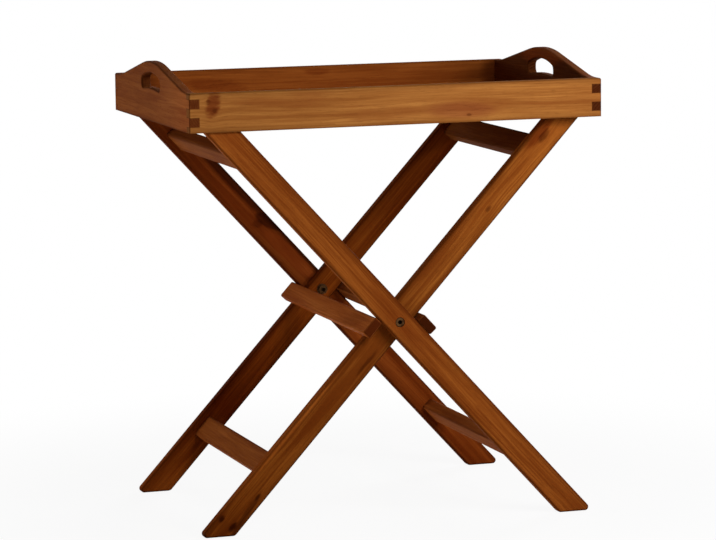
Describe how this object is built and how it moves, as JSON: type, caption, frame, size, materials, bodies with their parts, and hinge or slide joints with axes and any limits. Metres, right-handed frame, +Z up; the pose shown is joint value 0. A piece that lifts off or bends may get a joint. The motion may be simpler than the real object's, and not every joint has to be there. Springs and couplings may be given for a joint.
{
  "type": "butlers tray table",
  "caption": "Folding wooden tray table: a lift-off serving tray with crowned ends and hand holes on a crossed-leg stand with pivot bolts and stop bars.",
  "frame": {"origin": "on the floor under the middle of the table, below the pivot axis", "axes": "+X along the tray, +Y from the front to the back along the pivot axis, +Z up"},
  "size_m": [0.65, 0.43, 0.702],
  "materials": {
    "tray_wall_teak": "oiled teak, golden brown, satin",
    "tray_floor_teak": "oiled teak boards, satin",
    "leg_teak": "oiled teak, reddish brown, satin",
    "rail_teak": "oiled teak, dark reddish brown, satin",
    "dowel_beech": "plain turned dowel",
    "pivot_steel": "dull zinc-plated steel, darkened"
  },
  "bodies": {
    "inner_stand": {"inner_leg_front": "leg_teak", "inner_leg_rear": "leg_teak", "inner_top_rail": "rail_teak", "inner_lower_rail": "rail_teak", "inner_stop_bar": "rail_teak", "inner_bar_dowels": "dowel_beech", "pivot_bolts": "pivot_steel", "pivot_spacers": "pivot_steel", "pivot_washers": "pivot_steel", "pivot_nuts": "pivot_steel"},
    "outer_stand": {"outer_leg_front": "leg_teak", "outer_leg_rear": "leg_teak", "outer_top_rail": "rail_teak", "outer_lower_rail": "rail_teak", "outer_stop_bar": "rail_teak", "outer_bar_dowels": "dowel_beech"},
    "tray": {"tray_front_wall": "tray_wall_teak", "tray_rear_wall": "tray_wall_teak", "tray_left_end": "tray_wall_teak", "tray_right_end": "tray_wall_teak", "tray_floor_board_1": "tray_floor_teak", "tray_floor_board_2": "tray_floor_teak", "tray_floor_board_3": "tray_floor_teak", "tray_floor_board_4": "tray_floor_teak", "tray_floor_board_5": "tray_floor_teak", "tray_floor_board_6": "tray_floor_teak"}
  },
  "joints": [
    {"name": "stand_fold", "type": "hinge", "parent": "inner_stand", "child": "outer_stand", "pos_m": [0, 0, 0.312], "axis": [0, 1, 0], "range_deg": [0, 78]},
    {"name": "tray_lift", "type": "slide", "parent": "inner_stand", "child": "tray", "axis": [0, 0, 1], "range_m": [0, 0.48]}
  ],
  "couplings": [
    {"joint": "tray_lift", "follows": "stand_fold", "m_per_rad": 0.35}
  ]
}
